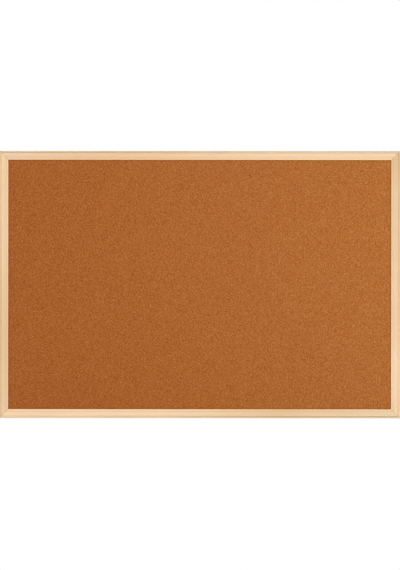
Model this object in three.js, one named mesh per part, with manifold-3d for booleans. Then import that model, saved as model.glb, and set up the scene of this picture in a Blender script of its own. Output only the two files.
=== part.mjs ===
// A cork notice board: a mitred pine frame of grooved moulding, a pin panel of
// three layers held in the groove, V-nails across the mitres, and on the back
// two folding D-ring hangers and two rubber bumpers.
// Millimetres, +Z up, the cork facing -Y. The origin is the middle of the board
// on the plane of the wall, which the bumpers touch. Left and right are as seen
// from the front, so left is -X.

import * as THREE from "three";
import { mergeVertices } from "three/addons/utils/BufferGeometryUtils.js";
import Module from "manifold-3d";

const wasm = await Module();
wasm.setup();

// Board
const boardWidth = 900;
const boardHeight = 600;
const fitGap = 0.3; // clearance between a piece and the slot, hole or stop it sits in
const cutOverrun = 1; // how far a cutting shape runs past the face it opens

// Pin panel
const corkThickness = 2;
const coreThickness = 6.6;
const paperThickness = 0.4;
const panelSlack = 0.5; // between the paper and the moulding's back lip
const panelPlay = 1; // between the panel's edge and the bottom of the groove

// Moulding, its width measured in from the outer edge and its depth up from the back
const railWidth = 20;
const grooveDepth = 9;
const backLip = 4;
const frontLip = 4.5;
const mitreGap = 0.3; // the glue line, measured square to the mitre
const backEase = 0.6; // the chamfer on the two back corners
const ledgeWidth = 4.4; // the rounded shoulder outside the face
const ledgeDrop = 1.6; // from the crown of the face down to the shoulder
const shoulderRadius = 3.2;
const crownRadius = 1.1;
const faceFall = 1.1; // how far the face slopes down towards the cork
const quirkWidth = 0.7; // the small grooves on both sides of the face
const quirkDepth = 0.5;
const lipWidth = 4.1; // the flat bead next to the cork
const lipDrop = 1.3; // from the crown of the face down to the bead
const lipRadius = 1.5;

// V-nails, pressed into each mitre from the back
const nailThickness = 0.5;
const nailWing = 4.4;
const nailDepth = 9;
const nailSink = 0.4; // how far the nail lies below the back of the frame
const nailSpread = THREE.MathUtils.degToRad(52); // from the mitre line to a wing
const nailEdgeShare = 0.25; // thickness of the sharpened edge, of the strip's
const nailPlaceShares = [0.34, 0.72]; // the two nails' apexes, of the solid web

// Hanger strap, a strip folded round the ring's wire
const hangerFromTop = 100; // from the top edge of the board to the hinge line
const strapWidth = 9;
const strapThickness = 0.9;
const webCover = 1; // wood left between the screw's hole and the groove
const foldRadius = 1.05; // inside radius where the strip bends back flat

// D-ring
const wireRadius = 1;
const borePlay = 0.4; // between the wire and the fold
const sidePlay = 1.1; // between the strap's side and the ring's leg
const ringLeg = 4.5; // from the hinge line to the middle of the ring's arc
const ringBend = 1.8; // centre-line radius of the corners by the fold

// Hanger screw
const screwLength = 12;
const screwRadius = 1.5;
const screwTip = 3.4;
const headRadius = 3.3;
const headHeight = 2.2;
const headEdge = 0.7; // the straight rim below the dome
const headFromRing = 2; // between the ring, lying down, and the screw's head
const recessSpan = 3.4;
const recessSlot = 0.95;
const recessDepth = 1.3;
const recessFloorShare = 0.5; // the cross at its floor, of the cross at its mouth

// Bumper
const bumperRadius = 5;
const bumperHeight = 5;
const bumperFromSide = 30; // from the side edge of the board to the middle of a bumper
const bumperTopRadius = 3;
const bumperRimHeight = 1.2;

// Smoothness of round shapes
const arcSteps = 7;
const ringSteps = 60;
const ringSides = 12;
const roundSides = 32;

// Sizes that follow from those above
const grooveWidth = paperThickness + coreThickness + corkThickness + panelSlack;
const grooveFront = backLip + grooveWidth;
const railDepth = grooveFront + frontLip;
const webWidth = railWidth - grooveDepth;
const strapStack = strapThickness + fitGap + strapThickness;
const boreRadius = wireRadius + borePlay;
const knuckleRadius = boreRadius + strapThickness;
const ringRadius = strapWidth / 2 + sidePlay + wireRadius;
const ringReach = ringLeg + ringRadius;
const screwDrop = ringReach + wireRadius + headFromRing + headRadius;
const pilotRadius = screwRadius + fitGap;
const pilotDepth = screwLength - strapStack + fitGap;
const hangerInset = webWidth - webCover - pilotRadius;
const hangerHeight = boardHeight / 2 - hangerFromTop;

// Finishes
const pine = { color: 0xe8c89c, roughness: 0.5, metalness: 0 };
const cork = { color: 0xad6631, roughness: 0.9, metalness: 0 };
const softboard = { color: 0xb59b78, roughness: 0.95, metalness: 0 };
const kraft = { color: 0xb08a5e, roughness: 0.85, metalness: 0 };
const zincPlate = { color: 0xc9ccd0, roughness: 0.35, metalness: 1 };
const springSteel = { color: 0x8f9296, roughness: 0.45, metalness: 1 };
const blackRubber = { color: 0x26262a, roughness: 0.75, metalness: 0 };

const alongX = new THREE.Vector3(1, 0, 0);
const alongY = new THREE.Vector3(0, 1, 0);
const alongZ = new THREE.Vector3(0, 0, 1);
const againstY = alongY.clone().negate();

function piece(name, geometry, finish) {
  const mesh = new THREE.Mesh(geometry, new THREE.MeshStandardMaterial(finish));
  mesh.name = name;
  return mesh;
}

// Lays an extrusion's own x, y and depth along the three given directions.
function turned(geometry, across, up, deep) {
  return geometry.applyMatrix4(new THREE.Matrix4().makeBasis(across, up, deep));
}

function solidOf(geometry) {
  const bare = geometry.clone();
  bare.deleteAttribute("normal");
  bare.deleteAttribute("uv");
  const merged = mergeVertices(bare);
  const mesh = new wasm.Mesh({
    numProp: 3,
    vertProperties: new Float32Array(merged.attributes.position.array),
    triVerts: new Uint32Array(merged.index.array),
  });
  return new wasm.Manifold(mesh);
}

function geometryOf(solid) {
  const { vertProperties, triVerts } = solid.getMesh();
  const geometry = new THREE.BufferGeometry();
  geometry.setAttribute("position", new THREE.BufferAttribute(vertProperties, 3));
  geometry.setIndex(new THREE.BufferAttribute(triVerts, 1));
  geometry.computeVertexNormals();
  return geometry;
}

function cutFrom(geometry, cutters) {
  const solid = cutters.reduce((rest, cutter) => rest.subtract(solidOf(cutter)), solidOf(geometry));
  return geometryOf(solid);
}

// The moulding's section: x runs in from the outer edge and y up from the back.
function mouldingSection() {
  const ledgeHeight = railDepth - ledgeDrop;
  const ledgeInner = ledgeWidth - quirkWidth;
  const lipOuter = railWidth - lipWidth;
  const faceInner = lipOuter - quirkWidth;
  const faceLow = railDepth - faceFall;
  const lipHeight = railDepth - lipDrop;
  const section = new THREE.Shape();
  section.moveTo(backEase, 0);
  section.lineTo(railWidth - backEase, 0);
  section.lineTo(railWidth, backEase);
  section.lineTo(railWidth, backLip);
  section.lineTo(webWidth, backLip);
  section.lineTo(webWidth, grooveFront);
  section.lineTo(railWidth, grooveFront);
  section.absarc(railWidth - lipRadius, lipHeight - lipRadius, lipRadius, 0, Math.PI / 2);
  section.lineTo(lipOuter, lipHeight);
  section.lineTo(lipOuter, faceLow - quirkDepth);
  section.lineTo(faceInner, faceLow - quirkDepth);
  section.lineTo(faceInner, faceLow);
  section.lineTo(ledgeWidth + crownRadius, railDepth);
  section.absarc(ledgeWidth + crownRadius, railDepth - crownRadius, crownRadius, Math.PI / 2, Math.PI);
  section.lineTo(ledgeWidth, ledgeHeight - quirkDepth);
  section.lineTo(ledgeInner, ledgeHeight - quirkDepth);
  section.lineTo(ledgeInner, ledgeHeight);
  section.lineTo(shoulderRadius, ledgeHeight);
  section.absarc(shoulderRadius, ledgeHeight - shoulderRadius, shoulderRadius, Math.PI / 2, Math.PI);
  section.lineTo(0, backEase);
  return section;
}

// A V-nail's outline in the plane of the frame, from the corner of the board.
function nailOutline(placeShare, thickness, wing) {
  const place = webWidth * placeShare * Math.SQRT2;
  const apex = thickness / 2 / Math.sin(nailSpread);
  const reach = new THREE.Vector2(Math.cos(nailSpread), Math.sin(nailSpread)).multiplyScalar(wing);
  const side = new THREE.Vector2(Math.sin(nailSpread), -Math.cos(nailSpread));
  side.multiplyScalar(thickness / 2);
  const half = [
    new THREE.Vector2(-apex, 0),
    new THREE.Vector2(reach.x - side.x, -reach.y + side.y),
    new THREE.Vector2(reach.x + side.x, -reach.y - side.y),
    new THREE.Vector2(apex, 0),
    new THREE.Vector2(reach.x + side.x, reach.y + side.y),
    new THREE.Vector2(reach.x - side.x, reach.y - side.y),
  ];
  const corner = new THREE.Vector2();
  return half.map((point) => {
    point.x += place;
    return point.rotateAround(corner, Math.PI / 4);
  });
}

function vNail(placeShare) {
  const outline = nailOutline(placeShare, nailThickness, nailWing);
  const edge = nailOutline(placeShare, nailThickness * nailEdgeShare, nailWing);
  const geometry = new THREE.ExtrudeGeometry(new THREE.Shape(outline), {
    depth: nailDepth,
    steps: arcSteps,
    bevelEnabled: false,
  });
  const at = geometry.attributes.position;
  for (let i = 0; i < at.count; i++) {
    if (at.getZ(i) < nailDepth) continue;
    const point = new THREE.Vector2(at.getX(i), at.getY(i));
    const gaps = outline.map((corner) => corner.distanceTo(point));
    const match = edge[gaps.indexOf(Math.min(...gaps))];
    at.setXY(i, match.x, match.y);
  }
  return turned(geometry, alongX, alongZ, againstY).translate(0, -nailSink, 0);
}

function nailSlot(placeShare) {
  const outline = nailOutline(placeShare, nailThickness + fitGap + fitGap, nailWing + fitGap);
  const geometry = new THREE.ExtrudeGeometry(new THREE.Shape(outline), {
    depth: cutOverrun + nailSink + nailDepth + fitGap,
    bevelEnabled: false,
  });
  return turned(geometry, alongX, alongZ, againstY).translate(0, cutOverrun, 0);
}

// One side of the frame lying along +X from its outer corner, its inner edge
// towards +Z and its front towards -Y. The ends are moved in with the section's
// distance from the outer edge, which mitres them.
function railGeometry(length, pilots) {
  const bar = new THREE.ExtrudeGeometry(mouldingSection(), {
    depth: length,
    curveSegments: arcSteps,
    bevelEnabled: false,
  });
  const glueShift = mitreGap / Math.SQRT2;
  const at = bar.attributes.position;
  for (let i = 0; i < at.count; i++) {
    const shift = at.getX(i) + glueShift;
    at.setZ(i, at.getZ(i) < length / 2 ? shift : length - shift);
  }
  turned(bar, alongZ, againstY, alongX);
  const slots = nailPlaceShares.map(nailSlot);
  const farSlots = slots.map((slot) => slot.clone().rotateY(-Math.PI / 2).translate(length, 0, 0));
  const holes = pilots.map((along) => {
    const hole = new THREE.CylinderGeometry(pilotRadius, pilotRadius, pilotDepth + cutOverrun, roundSides);
    return hole.translate(along, (cutOverrun - pilotDepth) / 2, hangerInset);
  });
  return cutFrom(bar, [...slots, ...farSlots, ...holes]);
}

// Each side is turned a quarter on from the one before, and carries the two
// nails of the corner where it starts.
function addFrame(board) {
  const screwHeight = hangerHeight - screwDrop;
  const sides = [
    { name: "bottom_rail", length: boardWidth, span: boardHeight, corner: "bottom_left", pilots: [] },
    {
      name: "right_stile",
      length: boardHeight,
      span: boardWidth,
      corner: "bottom_right",
      pilots: [boardHeight / 2 + screwHeight],
    },
    { name: "top_rail", length: boardWidth, span: boardHeight, corner: "top_right", pilots: [] },
    {
      name: "left_stile",
      length: boardHeight,
      span: boardWidth,
      corner: "top_left",
      pilots: [boardHeight / 2 - screwHeight],
    },
  ];
  sides.forEach(({ name, length, span, corner, pilots }, turn) => {
    const side = new THREE.Group();
    side.rotation.y = (-turn * Math.PI) / 2;
    const start = new THREE.Group();
    start.position.set(-length / 2, -bumperHeight, -span / 2);
    start.add(piece(name, railGeometry(length, pilots), pine));
    const [outer, inner] = nailPlaceShares;
    start.add(piece(`v_nail_${corner}_outer`, vNail(outer), springSteel));
    start.add(piece(`v_nail_${corner}_inner`, vNail(inner), springSteel));
    side.add(start);
    board.add(side);
  });
}

// The layers lie against the moulding's front lip, cork foremost.
function addPanel(board) {
  const reach = railWidth - grooveDepth + panelPlay;
  const width = boardWidth - reach - reach;
  const height = boardHeight - reach - reach;
  const layers = [
    { name: "cork_sheet", thickness: corkThickness, finish: cork },
    { name: "softboard_core", thickness: coreThickness, finish: softboard },
    { name: "backing_paper", thickness: paperThickness, finish: kraft },
  ];
  let front = -bumperHeight - grooveFront;
  for (const { name, thickness, finish } of layers) {
    const layer = piece(name, new THREE.BoxGeometry(width, thickness, height), finish);
    layer.position.y = front + thickness / 2;
    board.add(layer);
    front += thickness;
  }
}

// The strap's section from the side: x runs out from the stile's back, y up from
// the hinge line. The strip lies flat on the stile, goes round the wire and
// comes back down over itself, a hair apart.
function strapSection() {
  const middle = boreRadius + strapThickness / 2;
  const bend = foldRadius + strapThickness / 2;
  const layerMiddle = strapThickness + fitGap + strapThickness / 2;
  const turn = Math.acos((bend + layerMiddle - knuckleRadius) / (middle + bend));
  const bendX = layerMiddle + bend;
  const bendY = -(middle + bend) * Math.sin(turn);
  const plateEnd = -screwDrop - strapWidth / 2;
  const section = new THREE.Shape();
  section.moveTo(0, plateEnd);
  section.lineTo(0, 0);
  section.absarc(knuckleRadius, 0, knuckleRadius, Math.PI, -turn, true);
  section.absarc(bendX, bendY, foldRadius, Math.PI - turn, Math.PI);
  section.lineTo(strapStack, plateEnd);
  section.lineTo(strapThickness + fitGap, plateEnd);
  section.absarc(bendX, bendY, foldRadius + strapThickness, Math.PI, Math.PI - turn, true);
  section.absarc(knuckleRadius, 0, boreRadius, -turn, Math.PI);
  section.lineTo(strapThickness, plateEnd);
  return section;
}

function strapGeometry() {
  const strip = new THREE.ExtrudeGeometry(strapSection(), {
    depth: strapWidth,
    curveSegments: arcSteps + arcSteps,
    bevelEnabled: false,
  });
  turned(strip, alongY, alongZ, alongX).translate(-strapWidth / 2, 0, 0);
  const tongue = new THREE.Shape();
  tongue.moveTo(strapWidth / 2, knuckleRadius + cutOverrun);
  tongue.lineTo(-strapWidth / 2, knuckleRadius + cutOverrun);
  tongue.lineTo(-strapWidth / 2, -screwDrop);
  tongue.absarc(0, -screwDrop, strapWidth / 2, Math.PI, Math.PI + Math.PI);
  const deep = knuckleRadius + knuckleRadius + cutOverrun + cutOverrun;
  const outline = new THREE.ExtrudeGeometry(tongue, {
    depth: deep,
    curveSegments: roundSides / 2,
    bevelEnabled: false,
  });
  turned(outline, alongX, alongZ, againstY).translate(0, deep - cutOverrun, 0);
  const hole = new THREE.CylinderGeometry(pilotRadius, pilotRadius, deep, roundSides);
  hole.translate(0, deep / 2 - cutOverrun, -screwDrop);
  return geometryOf(solidOf(strip).intersect(solidOf(outline)).subtract(solidOf(hole)));
}

// The ring's centre line, a D lying in a plane with its bar on the x axis.
class RingLine extends THREE.Curve {
  constructor() {
    super();
    const outline = new THREE.Path();
    outline.moveTo(0, 0);
    outline.lineTo(ringRadius - ringBend, 0);
    outline.absarc(ringRadius - ringBend, -ringBend, ringBend, Math.PI / 2, 0, true);
    outline.lineTo(ringRadius, -ringLeg);
    outline.absarc(0, -ringLeg, ringRadius, 0, -Math.PI, true);
    outline.lineTo(-ringRadius, -ringBend);
    outline.absarc(ringBend - ringRadius, -ringBend, ringBend, Math.PI, Math.PI / 2, true);
    outline.lineTo(0, 0);
    this.outline = outline;
  }

  getPoint(share, target = new THREE.Vector3()) {
    const point = this.outline.getPointAt(share);
    return target.set(point.x, 0, point.y);
  }
}

function ringGeometry() {
  return new THREE.TubeGeometry(new RingLine(), ringSteps, wireRadius, ringSides, true);
}

// How far the hanging ring leans out, so that its arc just clears the strap
// where it crosses the strap's sides.
function ringLean() {
  const crossing = ringLeg + Math.sqrt(ringRadius ** 2 - (strapWidth / 2) ** 2);
  return Math.asin((strapStack + fitGap + wireRadius - knuckleRadius) / crossing);
}

function crossShape(span, slot) {
  const long = span / 2;
  const short = slot / 2;
  const quarter = [
    [long, -short],
    [long, short],
    [short, short],
  ];
  const points = [];
  for (let turn = 0; turn < 4; turn++) {
    for (const [x, y] of quarter) {
      points.push(new THREE.Vector2(x, y).rotateAround(new THREE.Vector2(), (turn * Math.PI) / 2));
    }
  }
  return new THREE.Shape(points);
}

// A pan-head wood screw along Y, its head's flat seat at the origin.
function screwGeometry() {
  const profile = new THREE.Path();
  profile.moveTo(0, -screwLength);
  profile.lineTo(screwRadius, screwTip - screwLength);
  profile.lineTo(screwRadius, 0);
  profile.lineTo(headRadius, 0);
  profile.lineTo(headRadius, headEdge);
  profile.quadraticCurveTo(headRadius, headHeight, headRadius / 2, headHeight);
  profile.lineTo(0, headHeight);
  const body = new THREE.LatheGeometry(profile.getPoints(arcSteps), roundSides);
  const recess = new THREE.ExtrudeGeometry(crossShape(recessSpan, recessSlot), {
    depth: recessDepth + cutOverrun,
    bevelEnabled: false,
  });
  const at = recess.attributes.position;
  const spread = 1 + ((1 - recessFloorShare) * cutOverrun) / recessDepth;
  for (let i = 0; i < at.count; i++) {
    const share = at.getZ(i) > 0 ? recessFloorShare : spread;
    at.setXY(i, at.getX(i) * share, at.getY(i) * share);
  }
  turned(recess, alongX, alongZ, againstY).translate(0, headHeight + cutOverrun, 0);
  return cutFrom(body, [recess]);
}

function addHanger(board, side, x) {
  const hanger = new THREE.Group();
  hanger.position.set(x, -bumperHeight, hangerHeight);
  hanger.add(piece(`${side}_hanger_strap`, strapGeometry(), zincPlate));
  const hinge = new THREE.Group();
  hinge.position.y = knuckleRadius;
  hinge.rotation.x = ringLean();
  hinge.add(piece(`${side}_hanger_ring`, ringGeometry(), zincPlate));
  hanger.add(hinge);
  const screw = piece(`${side}_hanger_screw`, screwGeometry(), zincPlate);
  screw.position.set(0, strapStack, -screwDrop);
  hanger.add(screw);
  board.add(hanger);
}

// A moulded rubber button with a sloping side, a rounded shoulder and a flat top.
function bumperGeometry() {
  const profile = new THREE.Path();
  profile.moveTo(0, 0);
  profile.lineTo(bumperRadius, 0);
  profile.lineTo(bumperRadius, bumperRimHeight);
  profile.quadraticCurveTo(bumperRadius, bumperHeight, bumperTopRadius, bumperHeight);
  profile.lineTo(0, bumperHeight);
  return new THREE.LatheGeometry(profile.getPoints(arcSteps), roundSides);
}

function addBumper(board, side, x) {
  const bumper = piece(`${side}_bumper`, bumperGeometry(), blackRubber);
  bumper.position.set(x, -bumperHeight, railWidth / 2 - boardHeight / 2);
  board.add(bumper);
}

const board = new THREE.Group();
addFrame(board);
addPanel(board);
addHanger(board, "left", hangerInset - boardWidth / 2);
addHanger(board, "right", boardWidth / 2 - hangerInset);
addBumper(board, "left", bumperFromSide - boardWidth / 2);
addBumper(board, "right", boardWidth / 2 - bumperFromSide);

export default board;
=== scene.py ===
# The looks of a cork notice board: a mitred pine frame round a sheet of pressed
# cork granules, and on its back kraft paper, V-nails, two folding D-ring hangers
# and two rubber bumpers. Metres, in the frame's own axes: the cork faces -Y and
# +Z is up.

import math
from contextlib import contextmanager

import bmesh
import bpy
from mathutils import Matrix, Vector


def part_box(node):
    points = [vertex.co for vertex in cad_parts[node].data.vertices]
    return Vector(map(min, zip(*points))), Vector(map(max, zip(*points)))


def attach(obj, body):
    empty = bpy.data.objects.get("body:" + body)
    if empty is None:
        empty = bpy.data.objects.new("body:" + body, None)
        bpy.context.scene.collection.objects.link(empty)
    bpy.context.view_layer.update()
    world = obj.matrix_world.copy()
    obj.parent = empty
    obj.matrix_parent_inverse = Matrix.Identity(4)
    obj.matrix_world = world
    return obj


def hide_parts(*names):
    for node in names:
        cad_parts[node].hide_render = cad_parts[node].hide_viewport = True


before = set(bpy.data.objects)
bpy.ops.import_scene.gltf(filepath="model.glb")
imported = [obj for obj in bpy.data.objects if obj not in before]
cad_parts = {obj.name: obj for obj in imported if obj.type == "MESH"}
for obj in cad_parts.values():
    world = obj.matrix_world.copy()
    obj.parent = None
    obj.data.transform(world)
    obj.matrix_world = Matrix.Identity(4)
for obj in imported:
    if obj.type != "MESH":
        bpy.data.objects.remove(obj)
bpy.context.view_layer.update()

MM = 0.001

# Board
board_width = 900 * MM
board_height = 600 * MM
back_y = -5 * MM  # the back of the frame, which the bumpers hold off the wall
overrun = 1 * MM  # a cutter runs this far past the face that it opens
weld = 0.002 * MM  # corners that are nearer to each other than this are one
crisp_angle = math.radians(38)  # a sharper edge than this isn't shaded smooth

# Moulding, across from its outer edge and up from its back
rail_width = 20 * MM
web_width = 11 * MM  # the solid wood outside the panel's groove
groove_back = 4 * MM
groove_front = 13.5 * MM
quirk_width = 0.7 * MM  # a fine groove on each side of the face
ledge_width = 4.4 * MM  # the rounded shoulder and its quirk
ledge_height = 16.4 * MM
ledge_quirk_floor = 15.9 * MM
crown_height = 18.1 * MM  # the face's outer corner, before it is rounded off
face_edge_height = 16.93 * MM  # its inner corner
bead_width = 4.1 * MM
bead_height = 16.7 * MM
bead_quirk_floor = 16.4 * MM
bead_edge = rail_width - bead_width
back_round = 0.6 * MM
groove_round = 0.15 * MM
quirk_round = 0.08 * MM
arris_round = 0.18 * MM
back_lip_round = 0.3 * MM
front_lip_round = 0.12 * MM
bead_round = 1.45 * MM
face_round = 0.25 * MM
crown_round = 1.0 * MM
shoulder_round = 3.1 * MM
moulding_corners = [
    # across, height, radius
    (0, 0, back_round),
    (rail_width, 0, back_round),
    (rail_width, groove_back, back_lip_round),
    (web_width, groove_back, groove_round),
    (web_width, groove_front, groove_round),
    (rail_width, groove_front, front_lip_round),
    (rail_width, bead_height, bead_round),
    (bead_edge, bead_height, arris_round),
    (bead_edge, bead_quirk_floor, quirk_round),
    (bead_edge - quirk_width, bead_quirk_floor, quirk_round),
    (bead_edge - quirk_width, face_edge_height, face_round),
    (ledge_width, crown_height, crown_round),
    (ledge_width, ledge_quirk_floor, quirk_round),
    (ledge_width - quirk_width, ledge_quirk_floor, quirk_round),
    (ledge_width - quirk_width, ledge_height, arris_round),
    (0, ledge_height, shoulder_round),
]
guard = 0.12 * MM  # a flat runs this far past a rounded arris before it shades flat
glue_line = 0.03 * MM  # on each side of the mitre
eased_end = 0.16 * MM

# V-nails
nail_thickness = 0.5 * MM
nail_wing = 4.4 * MM
nail_depth = 9 * MM
nail_sink = 0.4 * MM
nail_spread = math.radians(52)
nail_edge_share = 0.25
nail_place_shares = (0.34, 0.72)
torn_wood = 0.14 * MM  # between a pressed-in nail and the wood round it

# Sticks of pine, round the frame from the bottom. Each has the tones of its two
# ends, the left or lower one first; the place, the reach and the tint of a stretch
# nearer to the heart; the painted light on its ledge; the painted shade in its outer
# groove at both ends; and where in the log it was cut.
no_tint = (1.0, 1.0, 1.0, 1)
sticks = [
    {
        "name": "bottom_rail",
        "ends": ((252, 221, 181), (235, 209, 169)),
        "heart": (0.7, 0.27, (0.9, 0.86, 0.76, 1)),
        "ledge": (1.08, 1.13, 1.22, 1),
        "groove_shade": (-0.05, 0.2),
        "cut": (0.31, 0.01, 0.0),
    },
    {
        "name": "right_stile",
        "ends": ((247, 215, 176), (219, 181, 133)),
        "heart": (0.54, 0.12, (0.96, 0.95, 0.95, 1)),
        "ledge": (1.08, 1.05, 1.01, 1),
        "groove_shade": (0.0, 0.0),
        "cut": (0.0, 0.0, 0.02),
    },
    {
        "name": "top_rail",
        "ends": ((240, 210, 171), (237, 204, 163)),
        "heart": (0.3, 0.45, (0.93, 0.86, 0.76, 1)),
        "ledge": (1.04, 1.1, 1.2, 1),
        "groove_shade": (0.2, -0.03),
        "cut": (0.77, 0.02, 0.0),
    },
    {
        "name": "left_stile",
        "ends": ((239, 207, 165), (243, 208, 163)),
        "heart": (0.32, 0.45, (0.91, 0.87, 0.78, 1)),
        "ledge": (0.98, 0.98, 0.95, 1),
        "groove_shade": (-0.08, -0.08),
        "cut": (1.3, 0.03, 0.01),
    },
]

# Panel
panel_play = 1 * MM  # between the panel's edge and the bottom of the groove
sheet_width = board_width - 2 * (web_width + panel_play)
sheet_height = board_height - 2 * (web_width + panel_play)
cork_face_y = back_y - groove_front
row_pitch_share = 0.866  # of a granule, between staggered rows of them
# The cork's own texture square has its face above, then its rim, and its back below.
face_share = 0.98
face_level = 0.66
rim_level = 0.32

# Hanger
hanger_drop = 100 * MM  # from the top of the board to the hinge line
hanger_inset = 8.2 * MM  # from the side of the board to the middle of the strap
hinge_height = board_height / 2 - hanger_drop
hinge_across = board_width / 2 - hanger_inset
strap_width = 9 * MM
strap_thickness = 0.9 * MM
strap_gap = 0.3 * MM  # between its two layers
strap_stack = strap_thickness + strap_gap + strap_thickness
strap_eased = 0.14 * MM
fold_radius = 1.05 * MM  # inside the bend where the strip turns back flat
wire_radius = 1 * MM
wire_play = 0.4 * MM  # between the wire and the fold round it
leg_play = 1.1 * MM  # between the strap's side and the ring's leg
bore_radius = wire_radius + wire_play
knuckle_radius = bore_radius + strap_thickness  # and how far out the hinge line lies
ring_radius = strap_width / 2 + leg_play + wire_radius
ring_leg = 4.5 * MM
ring_bend = 1.8 * MM
screw_length = 12 * MM
screw_radius = 1.5 * MM
root_radius = 1.12 * MM
thread_pitch = 1.35 * MM
thread_share = 0.2  # half the width of the thread's foot, of its pitch
plain_neck = 0.6 * MM  # below the head, before the thread starts
thread_run_in = 1.2 * MM
screw_tip = 3.4 * MM
screw_point = 0.02 * MM
screw_turns = {"left": math.radians(31), "right": math.radians(12)}
head_radius = 3.3 * MM
head_from_ring = 2 * MM  # between the wire, lying down, and the head
screw_drop = ring_leg + ring_radius + wire_radius + head_from_ring + head_radius
head_height = 2.2 * MM
head_edge = 0.7 * MM
head_eased = 0.12 * MM
recess_span = 3.4 * MM
recess_slot = 0.95 * MM
recess_depth = 1.3 * MM
recess_flare_share = 1.35  # its width above the head, of its width at the top
recess_taper_share = 0.5  # its width at the bottom
pilot_play = 0.2 * MM  # between the thread and its hole
pilot_end = 0.5 * MM  # between the screw's point and the bottom of its hole
pilot_radius = screw_radius + pilot_play
pilot_depth = screw_length - strap_stack + pilot_end

# Bumper
bumper_radius = 5 * MM
bumper_height = 5 * MM
bumper_top_radius = 3 * MM
bumper_rim_height = 1.2 * MM
bumper_eased = 0.2 * MM

# Finishes
year_ring = 2.6 * MM
pith_behind = 55 * MM  # the middle of the log, from the stick's own middle
pith_below = 80 * MM
mitre_stain = (0.1 * MM, 1.4 * MM)  # off the mitre, where the glue's stain thins and ends
painted_over_back = (6 * MM, 10 * MM)  # above the back, where the front's painted light and shade fades in
crumb_size = 1.6 * MM
knot_size = 2.9 * MM
dust_size = 0.8 * MM
rim_shade = (1.0 * MM, 5.5 * MM)  # off the frame, where the painted shade on the cork thins and ends
paper_rib = 2.4 * MM

# Turns
z_to_front = Matrix.Rotation(math.pi / 2, 4, "X")
z_to_wall = Matrix.Rotation(-math.pi / 2, 4, "X")
sheet_to_wall = Matrix(((-1, 0, 0), (0, 0, 1), (0, 1, 0))).to_4x4()  # z to the wall, y up
section_to_side = Matrix(((0, 0, 1), (1, 0, 0), (0, 1, 0))).to_4x4()  # x to the wall, y up

# Studio
PX = board_width / 400.6  # one picture element: the board is a hair wider than the 400
picture_height = 570 * PX
camera_place = (0.3 * PX, -3, -0.45 * PX)
camera_roll = math.radians(-0.05)
floor_reach = 40
ambient = 0.4
lamps = [
    # name, place, aim, size, watts
    ("right softbox", (0.95, -1.7, 0.15), (0.3, 0, 0), (0.9, 0.8), 9),
    ("front softbox", (-0.5, -2.8, -0.03), (0, 0, -0.05), (1.8, 0.5), 28.7),
    ("back softbox", (-1.2, 2.4, 1.2), (0, 0, 0), (1.8, 1.8), 48),
]


def srgb(red, green, blue):
    """A colour as the eye reads it, 0 to 255, in the renderer's own numbers."""

    def straight(level):
        share = level / 255
        return share / 12.92 if share <= 0.04045 else ((share + 0.055) / 1.055) ** 2.4

    return (straight(red), straight(green), straight(blue), 1.0)


class Wiring:
    """Adds nodes to a tree and joins them up: a value that is another node's
    output is linked, and any other value is set."""

    def __init__(self, tree):
        self.tree = tree

    def put(self, socket, value):
        if isinstance(value, bpy.types.NodeSocket):
            self.tree.links.new(value, socket)
        else:
            socket.default_value = value

    def add(self, kind, joined=None, **settings):
        node = self.tree.nodes.new(kind)
        for name, value in settings.items():
            setattr(node, name, value)
        for key, value in (joined or {}).items():
            self.put(node.inputs[key], value)
        return node

    def math(self, operation, *values):
        node = self.add("ShaderNodeMath", operation=operation)
        for socket, value in zip(node.inputs, values):
            self.put(socket, value)
        return node.outputs[0]

    def vector(self, operation, *values):
        node = self.add("ShaderNodeVectorMath", operation=operation)
        for socket, value in zip(node.inputs, values):
            self.put(socket, value)
        return node.outputs["Vector"]

    def scaled(self, colour, share):
        """A vector, or a colour, times a number."""
        node = self.add("ShaderNodeVectorMath", operation="SCALE")
        self.put(node.inputs[0], colour)
        self.put(node.inputs["Scale"], share)
        return node.outputs["Vector"]

    def point(self, x, y, z):
        return self.add("ShaderNodeCombineXYZ", {0: x, 1: y, 2: z}).outputs[0]

    def parts(self, vector):
        return self.add("ShaderNodeSeparateXYZ", {0: vector}).outputs

    def ranged(self, value, low, high, to_low=0.0, to_high=1.0, smooth=False):
        node = self.add(
            "ShaderNodeMapRange",
            {0: value, 1: low, 2: high, 3: to_low, 4: to_high},
            interpolation_type="SMOOTHSTEP" if smooth else "LINEAR",
            clamp=True,
        )
        return node.outputs[0]

    def less(self, first, second):
        """The first number less the second."""
        return self.math("SUBTRACT", first, second)

    def total(self, first, *others):
        for value in others:
            first = self.math("ADD", first, value)
        return first

    def product(self, first, *others):
        for value in others:
            first = self.math("MULTIPLY", first, value)
        return first

    def distance(self, across, up):
        """How far a point lies from the origin of a plane."""
        return self.math("SQRT", self.total(self.product(across, across), self.product(up, up)))

    def seen(self):
        """1 for what the camera sees, also in a reflection, and 0 for light cast on."""
        path = self.add("ShaderNodeLightPath").outputs
        looked_at = self.math("MAXIMUM", path["Is Camera Ray"], path["Is Glossy Ray"])
        return self.math("MAXIMUM", looked_at, path["Is Transmission Ray"])


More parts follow.
